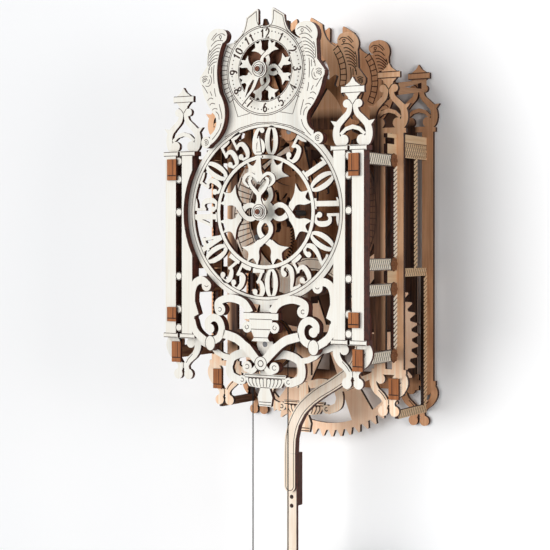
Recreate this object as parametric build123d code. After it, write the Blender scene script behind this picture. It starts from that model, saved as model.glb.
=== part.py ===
# Wooden gear clock: three fretted plywood plates, an open gear train, a pendulum and a cord drive.
# Sizes are in millimetres. Heights are taken from the minute arbor, depths from the front of the trim.
# The finished part is moved so that the hook hole in the back plate, at the wall, is the origin.
import os
from math import acos, atan2, cos, degrees, hypot, pi, radians, sin, sqrt, tan
from build123d import *

# Plywood and fits
ply = 3.0
running_gap = 0.06
face_gap = 0.5

# Depths of the three plates
front_bay = 53.0
rear_bay = 48.0
trim_depth = 2 * ply
panel_y = trim_depth
panel_back = panel_y + ply
middle_y = panel_back + front_bay
middle_back = middle_y + ply
back_y = middle_back + rear_bay
wall_y = back_y + ply

# Hook hole in the back plate
hook_height = 74.0
hook_hole = 3.5

# Pilasters
pilaster_x = 71.0
strip_width = 9.2
slot_width = 5.4
pilaster_half = strip_width + slot_width / 2
cap_half = pilaster_half + 2.0
cap_height = 3.4
front_cap, front_low = 43.5, -90.8
middle_cap, middle_low = 59.0, -115.6
back_cap, back_low = 63.0, -128.0
bead_radius = 2.9
bead_heights = (38.2, 24.6, 0.4, -46.9, -71.3, -84.9)
cap_gap = 1.0
volute_sides = 10
oval_x, oval_z, oval_wide, oval_tall = 43.2, -95.4, 4.6, 5.8
ring_bead = 5.4

# Dials
minute_ring_outer = 63.3
minute_ring_width = 2.4
inner_ring_outer = 41.4
inner_ring_width = 3.0
hour_hole = 22.0
shield_half = 41.0
ribbon_width, ribbon_reach = 3.6, 38.4
trim_opening = minute_ring_outer + ply + face_gap

# Figures cut in the minute dial
figure_sink = 1.0
figure_height = minute_ring_outer - minute_ring_width - inner_ring_outer + 2 * figure_sink
figure_width = 10.8
heavy_stroke, stroke, light_stroke = 3.8, 3.4, 2.0
oval_sides = 12

# Arbors and gears
arbor_radius = 2.0
bore_radius = arbor_radius + running_gap
boss_radius = 7.0
tooth_slack = 0.07
pressure_angle = radians(25)
tooth_tip, tooth_root = 0.85, 1.15
window_share = 0.72
rim_width = 5.5
wheel_hub = 9.0
drive_module, great_teeth, minute_leaves = 2.5, 60, 16
going_module, centre_teeth, third_teeth, going_leaves = 5 / 3, 48, 36, 6
motion_module, motion_teeth, hour_teeth, motion_leaves = 3.0, 32, 24, 8
escape_teeth, escape_radius, escape_depth, escape_lean = 75, 29.0, 2.6, 0.55

# Places of the arbors
third_lean = radians(22)
motion_lean = radians(17.5)
pendulum_z = -42.0
great_z = -drive_module * (great_teeth + minute_leaves) / 2
third_reach = going_module * (centre_teeth + going_leaves) / 2
third_x, third_z = -third_reach * cos(third_lean), third_reach * sin(third_lean)
escape_x, escape_z = third_x, third_z - going_module * (third_teeth + going_leaves) / 2
motion_reach = motion_module * (motion_teeth + motion_leaves) / 2
hour_reach = motion_module * (hour_teeth + motion_leaves) / 2
motion_x, motion_z = motion_reach * sin(motion_lean), motion_reach * cos(motion_lean)
hour_z = motion_z + sqrt(hour_reach ** 2 - motion_x ** 2)

# Depths of the moving layers, front face of each
layer_gap, wheel_gap, bay_gap = 5.0, 7.0, 12.0
hour_wheel_y = panel_back + ply + 2 * face_gap
motion_wheel_y = hour_wheel_y + ply + layer_gap
arm_y = middle_y - 3 * ply - layer_gap - wheel_gap
escape_y = middle_back + ply
third_wheel_y = middle_back + bay_gap
centre_wheel_y = third_wheel_y + ply + wheel_gap
great_wheel_y = centre_wheel_y + bay_gap
pinion_length = 2 * ply

# Hands
hand_ply = ply / 2
hand_y = -2.6
hub_radius = 6.2
cap_radius = 3.8
hour_hand_length = 29.0
hour_hand_turn = 210.0
minute_hand_length = 54.0

# Cord drive
cord_radius = 0.5
cord_gap = 0.3
pulley_radius = 14.75
flange_radius = pulley_radius + 4.0
flange_ply = 2.0
groove_width = 3.0
ratchet_teeth, ratchet_tip, ratchet_depth, ratchet_lean = 16, 17.0, 3.0, 0.85
weight_top = -262.0
weight_radius, weight_height = 15.0, 62.0
hook_radius, hook_length = 2.2, 4.0
ring_outer, ring_inner, ring_lug = 11.0, 7.0, 2.0
pulley_y = panel_back + 2 * face_gap
groove_y = pulley_y + flange_ply
cord_y = groove_y + groove_width / 2
ratchet_y = groove_y + groove_width + flange_ply
click_y = ratchet_y + ply + face_gap

# Pendulum
arm_width = 9.2
arm_reach = 60.0
rod_top, rod_width = -178.0, 8.0
arm_lap, clamp_length = 24.0, 39.0
arm_end = rod_top - arm_lap
bob_z, bob_radius = -292.0, 30.0
bob_rim = 8.0
pendulum_swing = radians(4)
bridge_y = middle_back + wheel_gap
bridge_drop, bridge_width, bridge_post = 26.0, 10.0, 9.0

# Side frames
side_x = 74.5
rail_height = 8.6
rope_width = 4.0
upper_low, upper_high = -41.8, 41.3
lower_low, lower_high = -107.6, -51.3
rear_low, rear_mid, rear_high = -150.0, -47.0, 57.0
rear_rail, hatched_rail = 6.0, 17.0
strut_rise, strut_height = 26.0, 9.0
rosette_radius, rosette_ply = 5.4, 2.0
block_width = 15.0
clip_width, clip_stand = 8.0, 2.4
clip_spans = ((31.8, 15.6), (-75.1, 10.6))
foot_clip_drop, foot_clip_height = 12.4, 15.2

# Plates that carry the arbors
carrier_outer, carrier_inner = 63.0, 48.0
carrier_bar = 6.0
cock_bar = 4.0


def disc(x, z, radius):
    return Pos(x, z) * Circle(radius)


def annulus(x, z, outer, inner):
    return disc(x, z, outer) - disc(x, z, inner)


def box(left, right, low, high):
    return Pos((left + right) / 2, (low + high) / 2) * Rectangle(right - left, high - low)


def outline(*points):
    return make_face(Polyline(*points, close=True))


def volute(x, z, radius):
    # the small round end of a scroll, cut with a few short sides
    return Pos(x, z) * RegularPolygon(radius, volute_sides)


def band(width, *points, end=0):
    # a ribbon along a smooth line, three short sides to every two points; it tapers if an end is given
    path = Spline(*points)
    steps = 3 * (len(points) - 1) // 2
    left, right = [], []
    for i in range(steps + 1):
        place, way = path @ (i / steps), path % (i / steps)
        side = Vector(-way.Y, way.X) * (width + ((end or width) - width) * i / steps) / 2
        left.append(place + side)
        right.insert(0, place - side)
    return outline(*left, *right)


def both_sides(sketch):
    return sketch + mirror(sketch, about=Plane.YZ)


def gather(*faces):
    return Sketch() + list(faces)


def plate(sketch, front, thickness=ply):
    # a flat piece lying in the plane of the dials
    return extrude(Plane((0, front + thickness, 0), (1, 0, 0), (0, -1, 0)) * sketch, amount=thickness)


def side_plate(sketch, inner, thickness=ply):
    # a flat piece standing at the right-hand side; the sketch's first axis is depth
    return extrude(Plane((inner, 0, 0), (0, 1, 0), (1, 0, 0)) * sketch, amount=thickness)


def pair(*solids):
    # the pieces of the right-hand side and their mirror images
    return Compound(children=[half for solid in solids for half in (solid, mirror(solid, about=Plane.YZ))])


def arbor(x, z, front, back):
    return plate(disc(x, z, arbor_radius), front, back - front)


def turned(sketch, angle, x=0, z=0):
    return Pos(x, z) * (Rot(0, 0, angle) * sketch)


def around(count, sketch):
    return gather(*[Rot(0, 0, 360 * i / count) * sketch for i in range(count)])


def holes(places, radius):
    return gather(*[disc(x, z, radius) for x, z in places])


# Plate ornaments
def finial():
    spire = outline((0, 49.5), (2.2, 46), (6.5, 43), (9, 43), (9, 38.6), (6.5, 38.6), (3.4, 35.4), (0, 34))
    half = gather(
        spire,
        volute(4.7, 31, 2.8),
        box(0, 3.4, 29.5, 36),
        band(3.4, (2.0, 29.5), (3.4, 24.6), (7.6, 20.4), (11.6, 16), (12.9, 10.6), (11.6, 5.4), (8.4, 3),
             end=6),
        volute(7.0, 5.8, 3.7),
        outline((0, 16.4), (5.6, 14.8), (10.2, 10.6), (8.8, 8.8), (4.6, 12.2), (0, 13.4)),
        outline((11.5, 18.6), (17.2, 19.4), (13.6, 14.6)),
        box(0, pilaster_half, -1, 2.4),
    )
    return both_sides(half)


def foot():
    half = gather(
        box(0, pilaster_half, -2.4, 1),
        volute(6.6, -5.6, 3.6),
        band(6, (7.5, -3.2), (11.4, -3.8), (12.8, -8.4), (10.2, -14.0), (5.2, -18.4), (2.6, -22.6),
             (3.8, -27.0), end=3.8),
        volute(4.6, -28.8, 3.8),
        box(0, 2.6, -24.2, -20.4),
    )
    return both_sides(half)


def capped_strip(cap, low, start):
    # right half of a pilaster: an upright strip between a cap bar and a low bar
    bars = [box(start, cap_half, z - cap_height / 2, z + cap_height / 2) for z in (cap, low)]
    return gather(box(slot_width / 2, pilaster_half, low, cap), *bars)


def pilasters(cap, low):
    # on each side two strips with a slot between, a finial above and a scrolled foot below
    post = both_sides(capped_strip(cap, low, 0)) + Pos(0, cap) * finial() + Pos(0, low) * foot()
    return both_sides(Pos(pilaster_x, 0) * post)


def wing():
    # the scrolled leaf on the right of the hour dial, drawn from the hour arbor
    body = make_face([
        ThreePointArc((29.0, 27.3), (38.0, 31.8), (45.6, 18.3)),
        Line((45.6, 18.3), (46.2, 4.8)),
        Line((46.2, 4.8), (52.4, -3.3)),
        Line((52.4, -3.3), (50.4, -10.3)),
        ThreePointArc((50.4, -10.3), (46.2, -21.7), (39.4, -30.8)),
        ThreePointArc((39.4, -30.8), (38.2, -39.0), (43.4, -45.3)),
        Line((43.4, -45.3), (43.4, -52.7)),
        ThreePointArc((43.4, -52.7), (31.2, -36.7), (34.8, -15.7)),
        ThreePointArc((34.8, -15.7), (37.2, 2.3), (29.0, 27.3)),
    ])
    curls = [volute(47.2, -4.7, 5.0), volute(46.8, -50.5, 4.2), volute(33.8, 26.1, 5.2)]
    return Pos(0, hour_z) * gather(body, *curls)


def wings():
    return both_sides(wing())


def dial_shield():
    # the hour dial's outline: two peaks, a round notch between them, and a skirt down to the minute dial
    half = make_face([
        Polyline((0, -52), (0, 32.9), (5.6, 32.9), (5.6, 43.3), (6.4, 44.7), (16.0, 38.9)),
        ThreePointArc((16.0, 38.9), (19.2, 28.6), (28.0, 21.3)),
        Polyline((28.0, 21.3), (37.0, 20.3), (shield_half, 0)),
        ThreePointArc((shield_half, 0), (38.4, -15.7), (32.4, -29.7)),
        ThreePointArc((32.4, -29.7), (34.4, -40.7), (shield_half, -52)),
        Line((shield_half, -52), (0, -52)),
    ])
    shield = both_sides(half - disc(0, 37.3, 5.6))
    return Pos(0, hour_z) * shield - disc(0, 0, minute_ring_outer)


def outer_scroll():
    # the C-scroll that leans on the pilaster, with the spiral and the oval bead under it
    return [
        volute(46.5, -53.5, 4.0),
        band(5.4, (46.4, -51.8), (51.2, -49.4), (56.4, -51.8), (59.0, -58.0), (59.4, -66.0)),
        outline((57.0, -64.0), (61.0, -64.0), (61.0, -84.0), (57.6, -84.0), (57.2, -76.4), (53.4, -74.4)),
        band(5.2, (43.0, -93.6), (36.4, -91.6), (33.2, -85.4), (35.0, -79.0), (40.2, -76.6), (45.0, -79.6),
             (45.2, -84.4)),
        volute(43.2, -84.8, 3.5),
        Pos(oval_x, oval_z) * oval(oval_wide, oval_tall),
        band(5.2, (59.2, -79.0), (55.8, -87.6), (46.0, -94.6)),
    ]


def urn_scroll():
    # the urn in the middle, the scroll over it and the arms that cross below it
    return [
        volute(34.6, -70.6, 4.4),
        band(4.6, (36.8, -71.0), (36.0, -65.2), (26.0, -62.2), (15.0, -65.0), (9.4, -72.0), end=6),
        box(0, 14.6, -77.0, -72.0),
        volute(11.4, -82.6, 4.0),
        box(0, 9.6, -84.0, -76.0),
        outline((0, -84.0), (8.4, -84.0), (5.6, -90.0), (7.6, -92.6), (0, -92.6)),
        band(6, (31.8, -88.2), (18.6, -92.4), (3.4, -106.0)),
        volute(11.4, -111.0, 3.9),
        band(3.4, (11.0, -113.6), (7.0, -114.0), (3.4, -110.6)),
        volute(0, -108.4, ring_bead),
    ]


def bowl_scroll():
    # the C-scroll, fluted bowl and pendant of the layer behind
    return [
        band(5, (4.0, -104.0), (17.6, -102.2), (28.6, -106.8), (29.4, -117.6), (20.0, -122.2)),
        volute(19.4, -121.4, 3.2),
        outline((0, -116.6), (17.6, -116.6), (17.0, -119.8), (13.6, -125.6), (3.8, -126.6), (6.2, -133.0),
                (5.0, -139.6), (0, -139.6)),
        box(0, 4.0, -118.0, -102.0),
    ]


def scroll_ties():
    # plain bars behind the scrolls that hold them to the pilasters
    return [
        band(4.2, (46.0, -98.0), (38.0, -104.0), (29.0, -106.0)),
        band(4.2, (45.0, -98.0), (53.0, -96.4), (62.0, -91.0)),
    ]


# Figures of the minute dial, each drawn about its own middle
half_tall, half_wide = figure_height / 2, figure_width / 2


def oval(wide, tall):
    places = [2 * pi * i / oval_sides for i in range(oval_sides)]
    return outline(*[(wide * sin(a), tall * cos(a)) for a in places])


def zero():
    return oval(half_wide, half_tall) - oval(half_wide - heavy_stroke, half_tall - light_stroke)


def one():
    stem = box(-heavy_stroke / 2, heavy_stroke / 2, -half_tall, half_tall)
    serif = box(1.6 - half_wide, half_wide - 1.6, -half_tall, light_stroke - half_tall)
    flag = outline((0, half_tall), (1 - half_wide, half_tall - 3.4), (0, half_tall - 3.4))
    return gather(stem, serif, flag)


def two():
    hook = band(stroke, (1.6 - half_wide, half_tall - 6.6), (0, half_tall - stroke / 2),
                (half_wide - 1.6, half_tall - 6), (1, -1), (1.6 - half_wide, stroke / 2 - half_tall))
    base = box(-half_wide, half_wide, -half_tall, stroke - half_tall)
    return gather(hook, volute(2.4 - half_wide, half_tall - 6, 2.1), base)


def lower_bowl(start, rise):
    # the round belly that three and five share, with the ball at its end
    bowl = band(stroke, (start, 0.6), (1.6, rise), (half_wide - stroke / 2, -half_tall / 2),
                (0.4, stroke / 2 - half_tall), (2 - half_wide, 4.4 - half_tall))
    return gather(bowl, volute(2.4 - half_wide, 4.4 - half_tall, 2.1))


def three():
    bar = box(0.6 - half_wide, half_wide - 0.6, half_tall - stroke, half_tall)
    slope = outline((half_wide - 0.6, half_tall - 1), (half_wide - 3.4, half_tall - 1), (-1.8, 0), (0.6, 0))
    return gather(bar, slope, lower_bowl(-1.2, 0.2))


def four():
    stem = box(0.4, 0.4 + heavy_stroke, -half_tall, half_tall)
    bar = box(-half_wide, half_wide, 4.6 - half_tall, 7 - half_tall)
    slope = outline((0.6, half_tall), (3.4, half_tall), (2.4 - half_wide, 5 - half_tall),
                    (-half_wide, 5 - half_tall))
    return gather(stem, bar, slope, box(-1.4, 5.4, -half_tall, light_stroke - half_tall))


def five():
    bar = box(1.4 - half_wide, half_wide - 0.4, half_tall - stroke, half_tall)
    stem = box(1.4 - half_wide, 1.4 - half_wide + light_stroke, -0.6, half_tall)
    return gather(bar, stem, lower_bowl(2 - half_wide, 2.2))


def six():
    ring = oval(half_wide, half_tall / 2 + 1) - oval(half_wide - stroke, half_tall / 2 + 1 - light_stroke)
    neck = band(stroke, (stroke / 2 - half_wide, -half_tall / 2), (0, half_tall - 2.4),
                (half_wide - 2.4, half_tall - 3))
    return gather(Pos(0, 1 - half_tall / 2) * ring, neck, volute(half_wide - 2.4, half_tall - 3.2, 1.9))


figures = {"0": zero, "1": one, "2": two, "3": three, "4": four, "5": five, "6": six}


def number(value):
    text = str(value)
    start = -figure_width * (len(text) - 1) / 2
    return [Pos(start + figure_width * i, 0) * figures[sign]() for i, sign in enumerate(text)]


def minute_scale():
    middle = (inner_ring_outer + minute_ring_outer - minute_ring_width) / 2
    faces = []
    for value in range(5, 65, 5):
        upside_down = 20 <= value <= 40
        turn = 180 - 6 * value if upside_down else -6 * value
        side = -middle if upside_down else middle
        faces += [Rot(0, 0, turn) * (Pos(0, side) * sign) for sign in number(value)]
    return faces


def ribbon_knot(reach):
    # four ribbon loops round the arbor; their ends cross and open as tulips on the ring
    unit = reach / ribbon_reach
    tips = [(2.2, 21.8), (5.0, 27.6), (4.8, 33.0), (6.6, 38.8), (10.0, 33.4), (15.2, 36.2), (14.2, 29.2),
            (20.0, 25.2), (13.8, 24.4), (9.8, 22.8), (6.0, 20.0)]
    tulip = outline(*[(x * unit, z * unit) for x, z in tips])
    bends = [(-1.6, 6.0), (-4.8, 10.8), (-4.0, 15.8), (0, 19.8), (5.2, 23.0)]
    arm = band(ribbon_width * (1 + unit) / 2, *[(x * unit, z * unit) for x, z in bends], end=5.2 * unit)
    petal = both_sides(gather(arm, tulip))
    hub = annulus(0, 0, 8 * unit, arbor_radius + 2 * face_gap)
    return gather(hub, *[Rot(0, 0, 90 * i) * petal for i in range(4)])


# Gears
def grip():
    # the eight-sided hole by which a wheel grips its round arbor
    return RegularPolygon(arbor_radius, 8, major_radius=False)


def gear(teeth, module, windows=0):
    # straight-flanked teeth through the involute at root and tip, on small gears also at the pitch line
    pitch_radius = teeth * module / 2
    base = pitch_radius * cos(pressure_angle)
    tip, root = pitch_radius + tooth_tip * module, pitch_radius - tooth_root * module
    half_tooth = pi / (2 * teeth) * (1 - 2 * tooth_slack)

    def flank(radius):
        angle = acos(min(1, base / radius))
        return half_tooth + (tan(pressure_angle) - pressure_angle) - (tan(angle) - angle)

    heights = (root, tip) if teeth > 20 else (root, pitch_radius, tip)
    profile = [(radius, -flank(max(radius, base))) for radius in heights]
    profile += [(radius, -angle) for radius, angle in reversed(profile)]
    points = []
    for i in range(teeth):
        middle = 2 * pi * i / teeth
        points += [(r * sin(middle + angle), r * cos(middle + angle)) for r, angle in profile]
    sketch = outline(*points)
    if windows:
        sketch -= around(windows, window(windows, root - rim_width, wheel_hub))
    return sketch - grip()


def window(count, outer, inner):
    # an opening between two spokes
    wide = window_share * pi / count
    narrow = wide / 2
    top = [(outer * sin(a), outer * cos(a)) for a in (-wide, 0, wide)]
    low = [(inner * sin(a), inner * cos(a)) for a in (narrow, 0, -narrow)]
    return make_face([ThreePointArc(*top), Line(top[2], low[0]), ThreePointArc(*low), Line(low[2], top[0])])


def saw_wheel(teeth, tip, depth, lean):
    # leaning teeth for the escape wheel and the ratchet
    points = []
    for i in range(teeth):
        points.append((tip * sin(2 * pi * i / teeth), tip * cos(2 * pi * i / teeth)))
        gap = 2 * pi * (i + lean) / teeth
        points.append(((tip - depth) * sin(gap), (tip - depth) * cos(gap)))
    return outline(*points)


def mesh_turn(x, z, teeth, to_x, to_z, to_teeth, to_turn=0):
    # the turn in degrees that puts a tooth gap of this gear on the other gear's tooth
    way = degrees(atan2(to_x - x, to_z - z))
    phase = ((way + 180 + to_turn) * to_teeth / 360) % 1
    return -way - (phase + 0.5) * 360 / teeth


# Fixed pieces
def front_panel():
    shape = pilasters(front_cap, front_low) + both_sides(gather(*bowl_scroll(), *scroll_ties()))
    shape += annulus(0, 0, trim_opening, minute_ring_outer)
    shape += box(-cock_bar, cock_bar, great_z - 3 * cock_bar, -minute_ring_outer)
    shape += volute(0, great_z, boss_radius)
    shape -= disc(0, 0, minute_ring_outer) + dial_shield()
    return plate(shape - disc(0, great_z, bore_radius), panel_y)


def front_trim():
    post = both_sides(capped_strip(front_cap, front_low, cap_gap))
    post += gather(*[volute(0, z, bead_radius) for z in bead_heights])
    half = Pos(pilaster_x, 0) * post - disc(0, 0, trim_opening)
    return plate(both_sides(half + gather(*outer_scroll(), *urn_scroll())), 0, trim_depth)


def minute_dial():
    rings = [annulus(0, 0, minute_ring_outer, minute_ring_outer - minute_ring_width),
             annulus(0, 0, inner_ring_outer, inner_ring_outer - inner_ring_width)]
    shape = gather(*rings, *minute_scale(), ribbon_knot(inner_ring_outer - inner_ring_width))
    return plate(shape - Circle(bore_radius), panel_y)


def hour_dial():
    shape = dial_shield() - disc(0, hour_z, hour_hole) + Pos(0, hour_z) * ribbon_knot(hour_hole)
    return plate(shape - disc(0, hour_z, bore_radius), panel_y)


def motion_cock():
    # a bar behind the hour dial that carries the hour arbor and the front end of the motion arbor
    ends = [(0, hour_z), (motion_x, motion_z)]
    web = outline((-cock_bar, hour_z), (cock_bar, hour_z), (motion_x + cock_bar, motion_z),
                  (motion_x - cock_bar, motion_z))
    bosses = gather(*[volute(x, z, boss_radius) for x, z in ends])
    return plate(bosses + web - holes(ends, bore_radius), panel_back)


rear_arbors = [(0, 0), (0, great_z), (third_x, third_z), (escape_x, escape_z)]
middle_arbors = [*rear_arbors, (0, pendulum_z), (motion_x, motion_z)]


def carrier(cap, low, arbors):
    # a plate that carries arbors: pilasters, crest, a broad ring and upright and level bars
    reach = pilaster_x - slot_width
    shape = pilasters(cap, low) + wings() + dial_shield() + annulus(0, 0, carrier_outer, carrier_inner)
    shape += box(-carrier_bar, carrier_bar, low - carrier_bar, hour_z - hour_hole)
    shape += box(-reach, reach, great_z - carrier_bar, great_z + carrier_bar)
    shape += both_sides(gather(box(carrier_inner, reach, -carrier_bar, carrier_bar)))
    shape += gather(*[volute(x, z, boss_radius) for x, z in arbors if x < 0])
    return shape - disc(0, hour_z, hour_hole)


def middle_plate():
    scrolls = both_sides(gather(*bowl_scroll(), *scroll_ties(), disc(oval_x, oval_z, ring_bead)))
    shape = carrier(middle_cap, middle_low, middle_arbors) + Pos(0, middle_low - front_low) * scrolls
    return plate(shape - holes(middle_arbors, bore_radius), middle_y)


def back_plate():
    tie = box(-pilaster_x, pilaster_x, back_low - carrier_bar, back_low + carrier_bar)
    shape = carrier(back_cap, back_low, rear_arbors) + tie + disc(0, hook_height, hook_hole + boss_radius)
    return plate(shape - holes(rear_arbors, bore_radius) - disc(0, hook_height, hook_hole), back_y)


def crest_wings():
    return plate(wings(), 0, trim_depth)


def side_frame(low, high):
    gap = box(panel_back + rope_width, middle_y - rope_width, low + rail_height, high - rail_height)
    return pair(side_plate(box(panel_back, middle_y, low, high) - gap, side_x))


def upper_frames():
    return side_frame(upper_low, upper_high)


def lower_frames():
    return side_frame(lower_low, lower_high)


def rear_frames():
    post = great_wheel_y - rope_width
    shape = gather(
        box(middle_back, back_y, rear_high - hatched_rail, rear_high),
        box(post - rope_width, post, rear_mid, rear_high),
        box(middle_back, back_y, rear_mid, rear_mid + rear_rail),
        box(back_y - rope_width, back_y, rear_low, rear_mid + rear_rail),
        box(middle_back, back_y, rear_low, rear_low + rear_rail),
    )
    return pair(side_plate(shape, side_x))


def top_struts():
    # sloping struts with a three-cornered opening
    low, high = middle_cap + strut_rise, back_cap + strut_rise + ply
    shape = outline((middle_back, low), (back_y, high), (back_y, high + strut_height),
                    (middle_back, low + strut_height))
    front, back = middle_back + strut_height, back_y - strut_height
    shape -= outline((front, (low + high) / 2 + strut_height / 3), (back, high + strut_height / 9),
                     (back, high + strut_height / 1.6))
    return pair(side_plate(shape, side_x))


def rosettes():
    inset = rail_height / 2
    heights = (upper_high - inset, upper_low + inset, lower_high - inset, lower_low + inset)
    flower = RegularPolygon(rosette_radius, 8)
    depth = middle_y - rosette_radius
    return pair(*[side_plate(Pos(depth, z) * flower, side_x + ply, rosette_ply) for z in heights])


def side_blocks():
    # a block between the front frames and a stepped bracket above them
    front = middle_y - block_width
    block = box(front, middle_y, lower_high + face_gap, upper_low - face_gap)
    bracket = box(front, middle_y, upper_high + face_gap, upper_high + block_width)
    step = upper_high + block_width - ply
    bracket -= box(front, middle_y - rope_width, upper_high + block_width / 2, step)
    return pair(side_plate(block, side_x), side_plate(bracket, side_x))


def tenon_clips():
    x = side_x + ply / 2
    places = [(z, tall, 0) for z, tall in clip_spans]
    for low, face in ((front_low, panel_y), (middle_low, middle_y)):
        places.append((low - foot_clip_drop, foot_clip_height, face))
    clips = []
    for z, tall, face in places:
        shape = box(x - clip_width / 2, x + clip_width / 2, z - tall / 2, z + tall / 2)
        clips.append(plate(shape, face - clip_stand, clip_stand))
    return pair(*clips)


def pendulum_bridge():
    # the rear bearing of the pendulum arbor, a bar on a post that stands on the middle plate's upright
    half, low = bridge_width / 2, pendulum_z - bridge_drop
    bar = box(-half, half, low, pendulum_z + half) - disc(0, pendulum_z, bore_radius)
    post = plate(box(-half, half, low, low + bridge_post), middle_back, bridge_y - middle_back)
    return Compound(children=[plate(bar, bridge_y), post])


# Minute arbor
def minute_arbor():
    return arbor(0, 0, hand_y - ply, wall_y)


def minute_pinion():
    return plate(gear(minute_leaves, drive_module), great_wheel_y - ply / 2, pinion_length)


def centre_wheel():
    return plate(gear(centre_teeth, going_module), centre_wheel_y)


def motion_pinion():
    return plate(gear(motion_leaves, motion_module), motion_wheel_y - ply / 2, pinion_length)


def heart_hand():
    half = gather(
        band(3.4, (0, 12.0), (5.6, 18.2), (9.6, 23.4), (6.8, 28.2), (0, 23.0)),
        band(2.8, (6.0, 18.2), (11.8, 21.6), (9.6, 28.4)),
        outline((0, 22.0), (1.5, 24.0), (2.6, 30.0), (1.6, 38.0), (2.8, 39.0), (2.8, 41.0), (1.5, 42.0),
                (0, minute_hand_length)),
        outline((0, 0), (4.4, 0), (1.8, 9.0), (2.6, 13.0), (0, 14.6)),
    )
    return both_sides(half)


def minute_hand():
    return plate(heart_hand() + Circle(hub_radius) - grip(), hand_y, hand_ply)


def cap_ring(z):
    return plate(disc(0, z, cap_radius) - Pos(0, z) * grip(), hand_y - hand_ply, hand_ply)


def minute_cap():
    return cap_ring(0)


# Great arbor
def great_arbor():
    return arbor(0, great_z, panel_y, wall_y)


def great_wheel():
    turn = mesh_turn(0, great_z, great_teeth, 0, 0, minute_leaves)
    return plate(turned(gear(great_teeth, drive_module, 6), turn, 0, great_z), great_wheel_y)


def click_plate():
    half = boss_radius / 2
    arm = Circle(boss_radius) + box(-half, half, 0, ratchet_tip + boss_radius) - grip()
    return plate(Pos(0, great_z) * arm, click_y)


def click():
    # the pawl stands just clear of the ratchet teeth
    tip, half = ratchet_tip + face_gap, boss_radius / 2
    back = tip + 2 * half
    shape = outline((-half, tip), (0, tip), (half, tip + half), (half, back), (-half, back))
    return plate(Pos(0, great_z) * shape, ratchet_y, click_y - ratchet_y)


# Cord pulley
def on_pulley(sketch, front, thickness):
    return plate(Pos(0, great_z) * (sketch - Circle(bore_radius)), front, thickness)


def cord_pulley():
    # two flanges with a narrower core between them
    core = on_pulley(Circle(pulley_radius - cord_radius - cord_gap), groove_y, groove_width)
    fronts = (pulley_y, groove_y + groove_width)
    flanges = [on_pulley(Circle(flange_radius), front, flange_ply) for front in fronts]
    return core + flanges


def ratchet_wheel():
    return on_pulley(saw_wheel(ratchet_teeth, ratchet_tip, ratchet_depth, ratchet_lean), ratchet_y, ply)


def cord_section():
    return RegularPolygon(cord_radius, 8)


def cord_wrap():
    path = Edge.make_circle(pulley_radius, Plane((0, cord_y, great_z), (1, 0, 0), (0, -1, 0)), 0, 180)
    return sweep(Plane((pulley_radius, cord_y, great_z)) * cord_section(), path=path)


def strand(x):
    return Pos(x, cord_y, weight_top) * extrude(cord_section(), amount=great_z - weight_top)


def hanging(radius, top, height):
    return Pos(-pulley_radius, cord_y, weight_top - top - height) * extrude(Circle(radius), amount=height)


def weight_cord():
    return strand(-pulley_radius)


def weight_hook():
    return hanging(hook_radius, 0, hook_length)


def drive_weight():
    # a canister with room for its fill
    return hanging(weight_radius, hook_length, weight_height) - weight_fill()


def weight_fill():
    return hanging(weight_radius - ply, hook_length + ply, weight_height - 2 * ply)


def pull_cord():
    return strand(pulley_radius)


def pull_ring():
    eye_z = weight_top - ring_outer
    lug = box(pulley_radius - ring_lug, pulley_radius + ring_lug, eye_z, weight_top)
    shape = disc(pulley_radius, eye_z, ring_outer - ring_lug) + lug - disc(pulley_radius, eye_z, ring_inner)
    return plate(shape, cord_y - ply / 2)


# Third and escape arbors
def third_arbor():
    return arbor(third_x, third_z, middle_y, wall_y)


def third_pinion():
    turn = mesh_turn(third_x, third_z, going_leaves, 0, 0, centre_teeth)
    shape = turned(gear(going_leaves, going_module), turn, third_x, third_z)
    return plate(shape, centre_wheel_y - ply / 2, pinion_length)


def third_wheel():
    return plate(turned(gear(third_teeth, going_module), 0, third_x, third_z), third_wheel_y)


def escape_arbor():
    return arbor(escape_x, escape_z, middle_y, wall_y)


def escape_pinion():
    turn = mesh_turn(escape_x, escape_z, going_leaves, third_x, third_z, third_teeth)
    shape = turned(gear(going_leaves, going_module), turn, escape_x, escape_z)
    return plate(shape, third_wheel_y - ply / 2, pinion_length)


def escape_wheel():
    wheel = saw_wheel(escape_teeth, escape_radius, escape_depth, escape_lean) - grip()
    return plate(Pos(escape_x, escape_z) * wheel, escape_y)


# Motion work
def motion_arbor():
    return arbor(motion_x, motion_z, panel_back, middle_back)


def motion_wheel():
    turn = mesh_turn(motion_x, motion_z, motion_teeth, 0, 0, motion_leaves)
    return plate(turned(gear(motion_teeth, motion_module, 5), turn, motion_x, motion_z), motion_wheel_y)


def motion_leaf():
    shape = turned(gear(motion_leaves, motion_module), 0, motion_x, motion_z)
    return plate(shape, hour_wheel_y, motion_wheel_y - hour_wheel_y)


def hour_arbor():
    return arbor(0, hour_z, hand_y - ply, hour_wheel_y + ply + face_gap)


def hour_wheel():
    turn = mesh_turn(0, hour_z, hour_teeth, motion_x, motion_z, motion_leaves)
    return plate(turned(gear(hour_teeth, motion_module), turn, 0, hour_z), hour_wheel_y)


def hour_hand():
    # a leaf-shaped blade with a slit
    reach = hour_hand_length
    blade = outline((-3.0, 0), (-3.6, 0.5 * reach), (0, reach), (3.6, 0.5 * reach), (3.0, 0))
    slit = outline((-0.7, 0.3 * reach), (-1.4, 0.52 * reach), (0, 0.8 * reach), (1.4, 0.52 * reach),
                   (0.7, 0.3 * reach))
    hand = blade - slit + Circle(hub_radius) - grip()
    return plate(turned(hand, -hour_hand_turn, 0, hour_z), hand_y, hand_ply)


def hour_cap():
    return cap_ring(hour_z)


# Pendulum
def pendulum_arbor():
    return arbor(0, pendulum_z, arm_y - face_gap, bridge_y + ply)


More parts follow.
